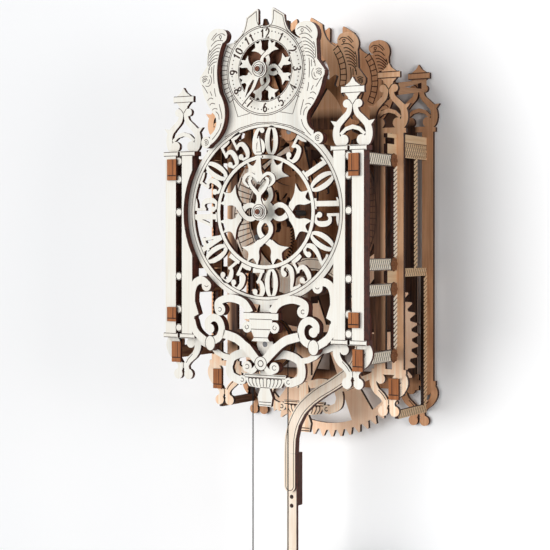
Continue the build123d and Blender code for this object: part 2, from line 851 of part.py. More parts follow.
def anchor():
    # two arms that reach round the escape wheel; the pallets stay outside its tip circle over the swing
    span = hypot(escape_x, escape_z - pendulum_z)
    turn = degrees(atan2(escape_z - pendulum_z, escape_x))
    keep = escape_radius * (1 + 1.2 * pendulum_swing) + face_gap
    arm = band(5.0, (0, 0), (0.14 * span, 0.42 * span), (span - 0.68 * keep, 0.88 * keep))
    pallet = outline((span - 0.64 * keep, 0.768 * keep), (span - 0.82 * keep, 0.80 * keep),
                     (span - 0.68 * keep, 0.96 * keep))
    half = gather(Circle(boss_radius), arm, pallet)
    shape = half + mirror(half, about=Plane.XZ) - grip()
    return plate(turned(shape, turn, 0, pendulum_z), escape_y)


def curved_arm(end):
    # the arm runs round the great arbor and comes back to the middle line
    line = [(0, pendulum_z), (18, -37.6), (36, -41.5), (52, -55.0), (arm_reach, -75.0),
            (arm_reach - 0.5, -96.0), (53, -112.0), (38, -123.8), (22.5, -133.2), (10, rod_top + 34),
            (3, rod_top + 22), (0.4, rod_top + 11), (0, rod_top)]
    shaft = box(-arm_width / 2, arm_width / 2, end, rod_top)
    return band(arm_width, *line) + shaft + volute(0, pendulum_z, boss_radius) - Pos(0, pendulum_z) * grip()


def pendulum_arm():
    return plate(curved_arm(arm_end) + disc(0, arm_end, arm_width / 2), arm_y)


def arm_backing():
    return plate(curved_arm(rod_top - face_gap), arm_y + ply)


def pendulum_rod():
    return plate(box(-rod_width / 2, rod_width / 2, bob_z, rod_top - face_gap), arm_y + ply)


def rod_clamp():
    shape = box(-rod_width / 2, rod_width / 2, rod_top - clamp_length, rod_top)
    return plate(shape, arm_y + 2 * ply, 2 * ply)


def bob_face():
    return plate(disc(0, bob_z, bob_radius - bob_rim), arm_y)


def bob_disc():
    slot = box(-rod_width / 2, rod_width / 2, bob_z, bob_z + 2 * bob_radius)
    return plate(disc(0, bob_z, bob_radius) - slot, arm_y + ply)


def bob_lead():
    return plate(disc(0, bob_z, bob_radius - bob_rim), arm_y + 2 * ply, 2 * ply)


pieces = (
    front_panel, front_trim, minute_dial, hour_dial, motion_cock, middle_plate, back_plate, crest_wings,
    upper_frames, lower_frames, rear_frames, top_struts, rosettes, side_blocks, tenon_clips,
    pendulum_bridge,
    minute_arbor, minute_pinion, centre_wheel, motion_pinion, minute_hand, minute_cap,
    great_arbor, great_wheel, click_plate, click, cord_pulley, ratchet_wheel, cord_wrap,
    weight_cord, weight_hook, drive_weight, weight_fill, pull_cord, pull_ring,
    third_arbor, third_pinion, third_wheel, escape_arbor, escape_pinion, escape_wheel,
    motion_arbor, motion_wheel, motion_leaf, hour_arbor, hour_wheel, hour_hand, hour_cap,
    pendulum_arbor, anchor, pendulum_arm, arm_backing, pendulum_rod, rod_clamp, bob_face, bob_disc,
    bob_lead,
)

os.makedirs("parts", exist_ok=True)
for piece in pieces:
    export_step(Pos(0, -wall_y, -hook_height) * piece(), f"parts/{piece.__name__}.step")
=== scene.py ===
# Looks of the wooden gear clock: plywood, burnt edges, engraved lines, cords, wall, light and camera.
# Sizes are in millimetres as in the part: heights from the minute arbor, depths from the front of the trim.
from math import cos, hypot, pi, radians, sin, sqrt

import bmesh
import bpy
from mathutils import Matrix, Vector


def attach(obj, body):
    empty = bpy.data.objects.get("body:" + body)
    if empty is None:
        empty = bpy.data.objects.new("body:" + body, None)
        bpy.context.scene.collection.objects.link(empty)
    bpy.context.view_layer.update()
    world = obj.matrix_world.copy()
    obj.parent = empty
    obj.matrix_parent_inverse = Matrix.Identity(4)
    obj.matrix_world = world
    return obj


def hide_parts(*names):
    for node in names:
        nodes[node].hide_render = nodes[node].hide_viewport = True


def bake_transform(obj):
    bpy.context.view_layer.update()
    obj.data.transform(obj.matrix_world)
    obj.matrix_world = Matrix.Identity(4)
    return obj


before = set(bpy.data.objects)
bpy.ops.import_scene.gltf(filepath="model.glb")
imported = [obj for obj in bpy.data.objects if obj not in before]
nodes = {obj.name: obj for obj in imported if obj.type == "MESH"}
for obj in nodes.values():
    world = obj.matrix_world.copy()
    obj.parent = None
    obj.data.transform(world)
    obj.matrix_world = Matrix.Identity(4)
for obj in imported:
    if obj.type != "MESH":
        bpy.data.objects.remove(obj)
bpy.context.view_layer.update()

# Sizes of the part that the looks follow
ply = 3.0
wall_y, hook_height = 116.0, 74.0
panel_y, middle_y, back_y = 6.0, 62.0, 113.0
panel_back, middle_back = panel_y + ply, middle_y + ply
motion_lean, motion_centres, hour_centres = radians(17.5), 60, 48
motion_side, motion_rise = motion_centres * sin(motion_lean), motion_centres * cos(motion_lean)
hour_z = motion_rise + sqrt(hour_centres ** 2 - motion_side ** 2)
great_z, weight_top, bob_z = -95.0, -262.0, -292.0
pilaster_x, side_face = 71.0, 77.5
front_cap, front_low = 43.5, -90.8
middle_cap, middle_low = 59.0, -115.6
back_cap, back_low = 63.0, -128.0
middle_drop = middle_low - front_low
bead_heights = (38.2, 24.6, 0.4, -46.9, -71.3, -84.9)
oval_x, oval_z = 43.2, -95.4
hand_y, hand_ply = -2.6, 1.5
arm_y, rod_y, arm_end = 41.0, 44.0, -202.0
cord_x, cord_y, cord_thick = 14.75, 13.5, 1.0
line_width, line_lift = 0.48, 0.06


def place(x, y, z):
    return Vector((x, y - wall_y, z - hook_height)) * 0.001


# Materials
def rgb(code):
    parts = [int(code[i:i + 2], 16) / 255 for i in (0, 2, 4)]
    return [c / 12.92 if c <= 0.04045 else ((c + 0.055) / 1.055) ** 2.4 for c in parts] + [1.0]


class Shader:
    def __init__(self, name):
        self.material = bpy.data.materials.new(name)
        self.material.use_nodes = True
        self.tree = self.material.node_tree
        self.tree.nodes.clear()
        self.out = self.node("OutputMaterial")
        self.bsdf = self.node("BsdfPrincipled")
        self.link(self.bsdf.outputs[0], self.out.inputs[0])
        self.coords = self.node("TexCoord")

    def node(self, kind, **settings):
        made = self.tree.nodes.new("ShaderNode" + kind)
        for key, value in settings.items():
            setattr(made, key, value)
        return made

    def link(self, a, b):
        self.tree.links.new(a, b)

    def noise(self, scale, detail=3.0):
        # noise in object space, stretched by a scale for each axis, in cycles per metre
        mapping = self.node("Mapping")
        mapping.inputs["Scale"].default_value = scale
        self.link(self.coords.outputs["Object"], mapping.inputs["Vector"])
        made = self.node("TexNoise")
        made.inputs["Scale"].default_value = 1.0
        made.inputs["Detail"].default_value = detail
        made.inputs["Roughness"].default_value = 0.6
        self.link(mapping.outputs[0], made.inputs["Vector"])
        return made.outputs["Fac"]

    def ramp(self, value, *stops):
        made = self.node("ValToRGB")
        while len(made.color_ramp.elements) < len(stops):
            made.color_ramp.elements.new(0.5)
        for element, (position, code) in zip(made.color_ramp.elements, stops):
            element.position = position
            element.color = rgb(code)
        self.link(value, made.inputs[0])
        return made.outputs[0]

    def mix(self, factor, a, b):
        made = self.node("Mix", data_type="RGBA")
        if isinstance(factor, float):
            made.inputs[0].default_value = factor
        else:
            self.link(factor, made.inputs[0])
        self.link(a, made.inputs[6])
        self.link(b, made.inputs[7])
        return made.outputs[2]

    def math(self, kind, a, b):
        made = self.node("Math", operation=kind)
        self.link(a, made.inputs[0])
        made.inputs[1].default_value = b
        return made.outputs[0]

    def span(self, value, low, high, start=0.0, end=1.0):
        made = self.node("MapRange")
        made.inputs["From Min"].default_value = start
        made.inputs["From Max"].default_value = end
        made.inputs["To Min"].default_value = low
        made.inputs["To Max"].default_value = high
        self.link(value, made.inputs["Value"])
        return made.outputs[0]

    def times(self, a, b):
        made = self.node("Math", operation="MULTIPLY")
        self.link(a, made.inputs[0])
        self.link(b, made.inputs[1])
        return made.outputs[0]

    def between(self, value, low, high, soft):
        # one inside a range, nought outside it, with a soft border
        rise = self.span(value, 0.0, 1.0, low - soft, low + soft)
        return self.times(rise, self.span(value, 1.0, 0.0, high - soft, high + soft))

    def bump(self, value, strength, distance):
        made = self.node("Bump")
        made.inputs["Strength"].default_value = strength
        made.inputs["Distance"].default_value = distance
        self.link(value, made.inputs["Height"])
        self.link(made.outputs[0], self.bsdf.inputs["Normal"])


def plywood(name, pale, deep, burnt, char, facing="Y", painted_shade_fields=(), painted_light_band=None, inner=None, foot=None):
    # faces across the given axis show veneer grain, and the cut edges burnt plies
    # turned wood has no such axis
    # a painted shade field is the left, right, low and high border of an area painted darker as shade, and
    # its tone
    # a painted light band is the inner and outer radius of a half ring left of the minute arbor painted
    # paler as light, and its tone
    # an inner tone is painted shade, a darker tone on faces that look into the clock
    # a foot is a height and the paler tone below it, painted light on the lowest parts
    s = Shader(name)
    along = (620, 26, 620) if facing == "X" else (620, 620, 26)
    grain = s.noise(along)
    face = s.ramp(grain, (0.32, deep), (0.62, pale))
    cloud = s.ramp(s.noise((38, 38, 38), 2.0), (0.3, deep), (0.7, pale))
    face = s.mix(0.35, face, cloud)
    split, turn = s.node("SeparateXYZ"), s.node("SeparateXYZ")
    s.link(s.coords.outputs["Object"], split.inputs[0])
    s.link(s.coords.outputs["Normal"], turn.inputs[0])
    # painted light: the face is paler below the given height
    if foot:
        height, tone = foot
        low = s.span(split.outputs["Z"], 1.0, 0.0, height - 0.012, height + 0.012)
        face = s.mix(low, face, s.ramp(grain, (0.32, pale), (0.62, tone)))
    # painted shade: front faces inside each field are darker
    for left, right, low, high, tone in painted_shade_fields:
        mask = s.between(split.outputs["X"], left, right, 0.002)
        mask = s.times(mask, s.between(split.outputs["Z"], low, high, 0.004))
        mask = s.times(mask, s.math("LESS_THAN", turn.outputs["Y"], 0.0))
        face = s.mix(mask, face, s.ramp(grain, (0.32, char), (0.66, tone)))
    # painted light: a paler half ring left of the minute arbor
    if painted_light_band:
        near, far, tone = painted_light_band
        flatten = s.node("Mapping")
        flatten.inputs["Location"].default_value = (0.0, 0.0, hook_height * 0.001)
        flatten.inputs["Scale"].default_value = (1.0, 0.0, 1.0)
        s.link(s.coords.outputs["Object"], flatten.inputs["Vector"])
        reach = s.node("VectorMath", operation="LENGTH")
        s.link(flatten.outputs[0], reach.inputs[0])
        mask = s.between(reach.outputs["Value"], near, far, 0.0006)
        mask = s.times(mask, s.between(split.outputs["X"], -far, 0.0, 0.004))
        face = s.mix(mask, face, s.ramp(grain, (0.3, pale), (0.6, tone)))
    # painted shade: faces that look into the clock are darker
    if inner:
        painted_shade_inwards = s.math("LESS_THAN", s.times(split.outputs[facing], turn.outputs[facing]), 0.0)
        face = s.mix(painted_shade_inwards, face, s.ramp(grain, (0.3, burnt), (0.7, inner)))
    if facing:
        plies = s.math("FRACT", s.math("MULTIPLY", split.outputs[facing], 1000 / ply), 0.0)
        scorch = s.ramp(s.noise((260, 260, 260)), (0.35, char), (0.68, burnt))
        strip = s.ramp(plies, (0.30, char), (0.42, burnt), (0.58, burnt), (0.70, char))
        flat = s.math("GREATER_THAN", s.math("ABSOLUTE", turn.outputs[facing], 0.0), 0.6)
        face = s.mix(flat, s.mix(0.45, scorch, strip), face)
    s.link(face, s.bsdf.inputs["Base Color"])
    s.link(s.span(grain, 0.56, 0.74), s.bsdf.inputs["Roughness"])
    s.bsdf.inputs["Specular IOR Level"].default_value = 0.3
    s.bump(grain, 0.18, 0.0002)
    return s.material


def burnt_line(name, dark, warm):
    s = Shader(name)
    tone = s.noise((420, 420, 420))
    s.link(s.ramp(tone, (0.35, dark), (0.7, warm)), s.bsdf.inputs["Base Color"])
    s.link(s.span(tone, 0.75, 0.92), s.bsdf.inputs["Roughness"])
    s.bump(tone, 0.3, 0.0001)
    return s.material


def brushed_steel():
    s = Shader("brushed_steel")
    streaks = s.noise((3000, 60, 3000), 4.0)
    s.link(s.ramp(streaks, (0.3, "4c4c4e"), (0.7, "7a7a7c")), s.bsdf.inputs["Base Color"])
    s.bsdf.inputs["Metallic"].default_value = 1.0
    s.link(s.span(streaks, 0.5, 0.68), s.bsdf.inputs["Roughness"])
    s.bump(streaks, 0.1, 0.00005)
    return s.material


def black_cord():
    s = Shader("black_cord")
    fibres = s.noise((2600, 2600, 900), 4.0)
    s.link(s.ramp(fibres, (0.3, "080707"), (0.75, "24211e")), s.bsdf.inputs["Base Color"])
    s.link(s.span(fibres, 0.7, 0.95), s.bsdf.inputs["Roughness"])
    s.bsdf.inputs["Sheen Weight"].default_value = 0.25
    s.bump(fibres, 0.5, 0.0001)
    return s.material


# Each pair is the burnt and the charred tone of the cut edges
pale_edge, tan_edge, gear_edge = ("6b3324", "2a100b"), ("48220f", "1c0a06"), ("3a1c0e", "160704")
# painted shade on the plates' front faces: darker over the inner area, and on the middle plate's left wing
# behind the hour dial
middle_painted_shade = ((-0.066, 0.066, -0.178, 0.0, "7a5238"), (-0.058, -0.006, -0.002, 0.053, "5a3624"))
back_painted_shade = ((-0.0695, 0.0695, -0.200, -0.004, "4a2d1b"),)
# birch is the front plywood; the tan, tan side, strut, middle, back, gear and shade plywoods are the same
# birch painted warmer and darker as painted shade, darker the deeper they lie
birch = plywood("birch_ply", "f3f2ea", "eae3d6", *pale_edge)
# the side plywoods take painted shade, a darker inner tone, on faces that look into the clock
birch_side = plywood("birch_ply_side", "fff6e6", "f4e2c6", *pale_edge, "X", inner="b08460")
shaded_tan = plywood("tan_ply", "ffe0c4", "f2c6a2", *tan_edge)
shaded_tan_side = plywood("tan_ply_side", "f0d0aa", "dcb184", *tan_edge, "X", inner="94684a")
arm_ply = plywood("arm_ply", "fdf0e0", "f1dac0", *pale_edge)
# painted light: a paler half ring on the middle plate left of the minute arbor
# painted light: the middle plate is paler below the top of its feet
middle_ply = plywood("middle_ply", "f9cca4", "e6a97a", *tan_edge, painted_shade_fields=middle_painted_shade,
                     painted_light_band=(0.0475, 0.0635, "fff4e6"), foot=(-0.186, "fdecd6"))
back_ply = plywood("back_ply", "d6a57d", "b8815a", *tan_edge, painted_shade_fields=back_painted_shade)
turned_wood = plywood("turned_wood", "f2e2cb", "d9bd9a", *pale_edge, None)
clip_wood = plywood("clip_wood", "b4703e", "7a421f", "5a2a14", "2c120a")
strut_ply = plywood("strut_ply", "c0906a", "9c6c4a", *tan_edge, "X")
gear_ply = plywood("gear_ply", "b5835c", "8a5833", *gear_edge)
shade_ply = plywood("shade_ply", "8c5a3c", "5c3522", *gear_edge)
dark_wood = plywood("dark_wood", "74462f", "4f2a1c", "5c3020", "331a12")
rosette_ply = plywood("rosette_ply", "8f5d3a", "653a22", "4a2416", "28110b", "X")
dowel = plywood("dowel_end", "9a5f47", "6e3c2c", "7a4836", "4a2518")
steel = brushed_steel()
cord_black = black_cord()
ink = burnt_line("burnt_line", "24110c", "4a2a1c")
soft_ink = burnt_line("soft_burnt_line", "2e160b", "4e2a18")

by_material = {
    birch: ("front_panel", "front_trim", "minute_dial", "hour_dial", "crest_wings", "minute_hand",
            "minute_cap", "hour_hand", "hour_cap", "bob_face", "bob_disc"),
    turned_wood: ("pull_ring", "drive_weight", "weight_hook"),
    arm_ply: ("pendulum_arm", "arm_backing", "pendulum_rod"),
    birch_side: ("upper_frames", "lower_frames", "rosettes"),
    shaded_tan_side: ("rear_frames", "side_blocks"),
    strut_ply: ("top_struts",),
    middle_ply: ("middle_plate",),
    back_ply: ("back_plate",),
    shaded_tan: ("great_wheel",),
    gear_ply: ("motion_cock", "pendulum_bridge", "minute_pinion", "centre_wheel", "motion_pinion",
               "click_plate", "click", "cord_pulley", "ratchet_wheel", "third_pinion", "third_wheel",
               "escape_pinion", "escape_wheel", "motion_wheel", "motion_leaf", "anchor"),
    shade_ply: ("hour_wheel",),
    clip_wood: ("tenon_clips",),
    dark_wood: ("rod_clamp",),
    steel: ("minute_arbor", "great_arbor", "third_arbor", "escape_arbor", "motion_arbor", "hour_arbor",
            "pendulum_arbor", "bob_lead", "weight_fill"),
    cord_black: ("cord_wrap", "weight_cord", "pull_cord"),
}
for material, names in by_material.items():
    for name in names:
        nodes[name].data.materials.clear()
        nodes[name].data.materials.append(material)


# Lines: each is (points, width, closed) in a flat frame
def stroke(*points, width=line_width):
    return [(list(points), width, False)]


def curve_point(a, b, c, d, t):
    # a place on the smooth curve from b to c, with a before and d after them
    bend, twist = 2 * a - 5 * b + 4 * c - d, 3 * b - a - 3 * c + d
    return 0.5 * (2 * b + (c - a) * t + bend * t * t + twist * t ** 3)


def smooth(*points, width=line_width, steps=5):
    # a line that bends smoothly through its points
    ends = [points[0], *points, points[-1]]
    line = []
    for four in zip(ends, ends[1:], ends[2:], ends[3:]):
        for i in range(steps):
            line.append(tuple(curve_point(*values, i / steps) for values in zip(*four)))
    return [(line + [points[-1]], width, False)]


def arc(x, z, radius, start, end, width=line_width):
    steps = max(3, int(abs(end - start) / 12))
    angles = [radians(start + (end - start) * i / steps) for i in range(steps + 1)]
    return [([(x + radius * cos(a), z + radius * sin(a)) for a in angles], width, False)]


def ellipse(x, z, wide, tall, width=line_width):
    steps = max(12, int(6 * sqrt(max(wide, tall))) * 2)
    angles = [2 * pi * i / steps for i in range(steps)]
    return [([(x + wide * cos(a), z + tall * sin(a)) for a in angles], width, True)]


def ring(x, z, radius, width=line_width):
    return ellipse(x, z, radius, radius, width)


def wider(paths, width):
    return [(points, width, closed) for points, _, closed in paths]


def changed(paths, change):
    # the same lines with each point changed, and a pen width at a point kept
    return [([(*change(u, v), *pen) for u, v, *pen in points], width, closed)
            for points, width, closed in paths]


def moved(paths, x, z):
    return changed(paths, lambda u, v: (u + x, v + z))


def mirrored(paths):
    return paths + changed(paths, lambda u, v: (-u, v))


def spun(paths, angle):
    c, s = cos(radians(angle)), sin(radians(angle))
    return changed(paths, lambda u, v: (u * c - v * s, u * s + v * c))


def front(depth):
    return lambda u, v, lift: place(u, depth - lift, v)


def side(sign):
    return lambda u, v, lift: place(sign * (side_face + lift), u, v)


def borders(path, end=None):
    # the two borders of a line with one width, a width that tapers to an end, or a width at each point
    points, width, closed = path
    count, left, right = len(points), [], []
    for i, (u, v, *pen) in enumerate(points):
        before = points[i - 1] if i or closed else points[i]
        after = points[(i + 1) % count] if i < count - 1 or closed else points[i]
        du, dv = after[0] - before[0], after[1] - before[1]
        size = hypot(du, dv) or 1.0
        half = (pen[0] if pen else width + ((end or width) - width) * i / (count - 1)) / 2
        left.append((u - dv / size * half, v + du / size * half))
        right.append((u + dv / size * half, v - du / size * half))
    return left, right


def add_ribbon(verts, faces, path, surface, top=line_lift, low=-line_lift, end=None):
    # a solid strip along a line, between two levels of a surface
    start, count, closed = len(verts), len(path[0]), path[2]
    for a, b in zip(*borders(path, end)):
        verts.extend([surface(*a, top), surface(*b, top), surface(*b, low), surface(*a, low)])
    for i in range(count if closed else count - 1):
        a, b = start + 4 * i, start + 4 * ((i + 1) % count)
        for k in range(4):
            faces.append((a + k, a + (k + 1) % 4, b + (k + 1) % 4, b + k))
    if not closed:
        faces.append((start, start + 3, start + 2, start + 1))
        last = start + 4 * (count - 1)
        faces.append((last, last + 1, last + 2, last + 3))


def add_blade(verts, faces, points, surface, top, low):
    # a solid flat shape inside a closed line
    count, start = len(points), len(verts)
    for lift in (top, low):
        verts.extend(surface(u, v, lift) for u, v in points)
    faces.append([start + i for i in range(count)])
    faces.append([start + count + i for i in reversed(range(count))])
    for i in range(count):
        j = (i + 1) % count
        faces.append((start + i, start + j, start + count + j, start + count + i))


def mesh_piece(name, verts, faces, material, body):
    mesh = bpy.data.meshes.new(name)
    mesh.from_pydata(verts, [], faces)
    work = bmesh.new()
    work.from_mesh(mesh)
    bmesh.ops.recalc_face_normals(work, faces=work.faces)
    work.to_mesh(mesh)
    work.free()
    mesh.materials.append(material)
    piece = bpy.data.objects.new(name, mesh)
    bpy.context.scene.collection.objects.link(piece)
    if body:
        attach(piece, body)
    return piece


def engrave(name, body, surface, paths, material=ink):
    verts, faces = [], []
    for path in paths:
        add_ribbon(verts, faces, path, surface)
    return mesh_piece(name, verts, faces, material, body)


# Smooth scrolls laid over the short-sided ones
# A scroll is its width, end width and points, a button the middle and radius of a round end
finial_scrolls = [(3.6, 6.2, (2.0, 29.5), (3.4, 24.6), (7.6, 20.4), (11.6, 16), (12.9, 10.6), (11.6, 5.4),
                   (8.4, 3))]
finial_buttons = [(4.7, 31.0, 2.85), (7.0, 5.8, 3.75)]
foot_scrolls = [(6.2, 4.0, (7.5, -3.2), (11.4, -3.8), (12.8, -8.4), (10.2, -14.0), (5.2, -18.4),
                 (2.6, -22.6), (3.8, -27.0))]
foot_buttons = [(6.6, -5.6, 3.65), (4.6, -28.8, 3.85)]
trim_scrolls = [
    (5.6, 5.6, (46.4, -51.8), (51.2, -49.4), (56.4, -51.8), (59.0, -58.0), (59.4, -66.0)),
    (5.4, 5.4, (43.0, -93.6), (36.4, -91.6), (33.2, -85.4), (35.0, -79.0), (40.2, -76.6), (45.0, -79.6),
     (45.2, -84.4)),
    (5.4, 5.4, (59.2, -79.0), (55.8, -87.6), (46.0, -94.6)),
    (4.8, 6.2, (36.8, -71.0), (36.0, -65.2), (26.0, -62.2), (15.0, -65.0), (9.4, -72.0)),
    (6.2, 6.2, (31.8, -88.2), (18.6, -92.4), (3.4, -106.0)),
    (3.6, 3.6, (11.0, -113.6), (7.0, -114.0), (3.4, -110.6)),
]
trim_buttons = [(46.5, -53.5, 4.05), (43.2, -84.8, 3.55), (34.6, -70.6, 4.45), (11.4, -82.6, 4.05),
                (11.4, -111.0, 3.95)]
bowl_scrolls = [(6.0, 6.0, (5.0, -103.8), (17.6, -101.9), (28.8, -106.6), (29.7, -117.6), (20.0, -122.4))]
bowl_buttons = [(19.4, -121.4, 3.3)]
wing_buttons = [(47.2, -4.7, 5.05), (46.8, -50.5, 4.25), (33.8, 26.1, 5.25)]


def shifted(scrolls, buttons, x, z):
    return ([(w, e, *[(u + x, v + z) for u, v in points]) for w, e, *points in scrolls],
            [(u + x, v + z, r) for u, v, r in buttons])


def add_button(verts, faces, x, z, radius, surface, top, low):
    add_blade(verts, faces, ring(x, z, radius)[0][0], surface, top, low)


def dress(name, depth, thickness, material, *groups):
    # each layer lies a hair prouder than the one before, on both sides of the clock
    verts, faces = [], []
    for scrolls, buttons in groups:
        for way in (1, -1):
            surface = lambda u, v, lift, way=way: place(way * u, depth - lift, v)
            for i, (width, end, *points) in enumerate(scrolls):
                lift = 0.01 + 0.008 * (i % 3)
                line = smooth(*points, steps=8)[0][0]
                add_ribbon(verts, faces, (line, width, False), surface, lift, -thickness - lift, end)
            for x, z, radius in buttons:
                add_button(verts, faces, x, z, radius, surface, 0.035, -thickness - 0.035)
    return mesh_piece(name, verts, faces, material, "frame")


def post_scrolls(cap, low):
    # the finial and the foot of a pilaster, and their mirror images about it
    groups = [shifted(finial_scrolls, finial_buttons, pilaster_x, cap),
              shifted(foot_scrolls, foot_buttons, pilaster_x, low)]
    for scrolls, buttons in list(groups):
        flip = ([(w, e, *[(2 * pilaster_x - u, v) for u, v in points]) for w, e, *points in scrolls],
                [(2 * pilaster_x - u, v, r) for u, v, r in buttons])
        groups.append(flip)
    return groups


beads = [(pilaster_x, z, 2.95) for z in bead_heights]
wing_ends = shifted([], wing_buttons, 0, hour_z)
dress("trim_scrolls", 0, 2 * ply, birch, (trim_scrolls, trim_buttons), ([], beads), wing_ends)
dress("panel_scrolls", panel_y, ply, birch, *post_scrolls(front_cap, front_low),
      (bowl_scrolls, bowl_buttons))
dress("middle_scrolls", middle_y, ply, middle_ply, *post_scrolls(middle_cap, middle_low),
      shifted(bowl_scrolls, bowl_buttons, 0, middle_drop), wing_ends)
dress("back_scrolls", back_y, ply, back_ply, *post_scrolls(back_cap, back_low), wing_ends)


# Ornament lines
def finial_lines():
    half = stroke((0, 43.0), (8.6, 43.0)) + stroke((0, 38.6), (8.6, 38.6))
    half += smooth((4.4, 34.4), (2.4, 33.4), (0.3, 30.6)) + stroke((0, 30.6), (0, 29.6))
    return mirrored(half)


def foot_lines():
    return stroke((0, -20.6), (0, -24.0)) + mirrored(smooth((2.4, -20.6), (4.4, -17.6), (8.2, -13.8)))


def post_lines(cap, low):
    return mirrored(moved(finial_lines(), pilaster_x, cap) + moved(foot_lines(), pilaster_x, low))


def wing_lines():
    # feathers, rose and leaf on the right-hand wing, drawn from the hour arbor
    lines = ring(34.2, 25.6, 1.0) + stroke((34.2, 24.5), (34.0, 23.4))
    lines += smooth((30.2, 26.4), (32.8, 27.9), (36.5, 27.2), (39.1, 25.3), (40.8, 23.4))
    lines += smooth((37.3, 28.6), (40.0, 26.5), (42.0, 24.0))
    lines += smooth((32.0, 22.6), (35.7, 23.3), (39.1, 22.3), (42.4, 19.4))
    for i in range(6):
        lines += smooth((33.9 + 0.72 * i, 20.0 - 2.45 * i), (36.7 + 0.68 * i, 20.1 - 2.55 * i),
                        (40.4 + 0.5 * i, 17.9 - 2.5 * i), (43.6 + 0.2 * i, 14.9 - 2.45 * i))
    lines += smooth((43.4, 17.0), (44.6, 13.1), (45.0, 9.4), (45.0, 5.5))
    lines += smooth((39.7, 5.6), (40.2, 1.2), (40.1, -2.9), (39.8, -8.0))
    lines += stroke((41.7, 4.4), (41.9, -0.4))
    lines += smooth((43.4, 3.2), (44.6, 1.6), (44.6, -0.4))
    lines += ring(47.8, -5.2, 0.9) + arc(47.8, -5.2, 1.9, -70, 190)
    lines += smooth((45.2, -2.8), (47.6, -2.0), (50.2, -3.0))
    lines += smooth((43.8, -4.6), (44.0, -6.5), (45.2, -7.8))
    lines += smooth((43.4, -1.8), (42.2, -3.9), (42.2, -6.9), (43.4, -9.0), (45.3, -9.7), (47.3, -9.2))
    lines += smooth((50.2, -8.4), (49.0, -9.5), (47.6, -11.4), (46.0, -13.8), (45.2, -14.8))
    lines += smooth((39.4, -11.4), (39.1, -14.1), (38.2, -17.5)) + stroke((43.2, -13.6), (41.6, -16.7))
    lines += smooth((40.6, -19.1), (42.5, -18.3), (44.2, -18.9), (45.4, -20.2))
    lines += smooth((38.9, -22.8), (41.2, -22.2), (42.8, -22.8), (43.6, -23.6))
    lines += smooth((36.8, -26.7), (39.0, -26.1), (40.6, -26.6), (41.4, -27.2))
    lines += smooth((38.3, -28.5), (36.5, -29.9), (35.6, -31.8), (35.4, -34.3))
    lines += smooth((35.3, -23.2), (34.2, -27.3), (33.2, -31.0), (33.0, -33.9))
    lines += smooth((33.6, -37.0), (35.0, -41.2), (38.2, -45.4), (41.4, -48.6))
    lines += ring(46.8, -50.5, 0.8) + arc(46.8, -50.5, 2.0, 40, 300)
    return moved(lines, 0, hour_z)


def rungs(inner, outer, low, high, step):
    # short radial strokes beside the hour dial, right-hand side
    lines = arc(0, 0, outer, low, high)
    for i in range(int((high - low) / step) + 1):
        a = radians(low + step * i)
        lines += stroke((inner * cos(a), inner * sin(a)), (outer * cos(a), outer * sin(a)))
    return moved(lines, 0, hour_z)


def feather_lines():
    # the same wing on the plates behind, with its column of rungs
    return wing_lines() + rungs(31.4, 36.5, -28, 38, 7.2) + moved(arc(0, 0, 31.4, -28, 34), 0, hour_z)


def bowl_lines():
    half = arc(19.4, -121.4, 1.3, 60, 330)
    for x, z in ((17.0, -117.4), (16.8, -119.2), (4.0, -126.2), (5.0, -136.6), (4.8, -138.6)):
        half += stroke((0, z), (x, z))
    for i in range(5):
        x = 1.5 + 3.1 * i
        half += smooth((x, -119.4), (x * 0.98, -122.6), (x * 0.82, -125.6))
    for i in range(4):
        half += arc(3.1 * i + 3.05, -120.9, 1.4, 15, 165)
    return mirrored(half)


# Hour dial: each figure is a line in a box one wide and one tall
hour_strokes = {
    "0": [(0.5, 1.0), (0.14, 0.84), (0.06, 0.5), (0.14, 0.16), (0.5, 0.0), (0.86, 0.16), (0.94, 0.5),
          (0.86, 0.84), (0.5, 1.0)],
    "1": [(0.2, 0.74), (0.56, 1.0), (0.56, 0.0)],
    "2": [(0.08, 0.76), (0.24, 0.96), (0.52, 1.0), (0.82, 0.92), (0.9, 0.7), (0.72, 0.46), (0.06, 0.0),
          (0.96, 0.0)],
    "3": [(0.08, 0.86), (0.46, 1.0), (0.86, 0.88), (0.82, 0.62), (0.44, 0.53), (0.88, 0.42), (0.92, 0.16),
          (0.48, 0.0), (0.06, 0.12)],
    "4": [(0.72, 0.0), (0.72, 1.0), (0.04, 0.28), (0.98, 0.28)],
    "5": [(0.88, 1.0), (0.2, 1.0), (0.14, 0.55), (0.5, 0.64), (0.88, 0.5), (0.9, 0.18), (0.5, 0.0),
          (0.08, 0.1)],
    "6": [(0.8, 0.97), (0.4, 0.84), (0.1, 0.42), (0.16, 0.1), (0.5, 0.0), (0.86, 0.1), (0.92, 0.38),
          (0.56, 0.57), (0.14, 0.38)],
    "7": [(0.04, 1.0), (0.96, 1.0), (0.36, 0.0)],
    "8": [(0.5, 0.53), (0.16, 0.68), (0.2, 0.92), (0.5, 1.0), (0.8, 0.92), (0.84, 0.68), (0.5, 0.53),
          (0.1, 0.34), (0.1, 0.1), (0.5, 0.0), (0.9, 0.1), (0.9, 0.34), (0.5, 0.53)],
    "9": [(0.2, 0.03), (0.6, 0.16), (0.9, 0.58), (0.84, 0.9), (0.5, 1.0), (0.14, 0.9), (0.08, 0.62),
          (0.44, 0.43), (0.86, 0.62)],
}


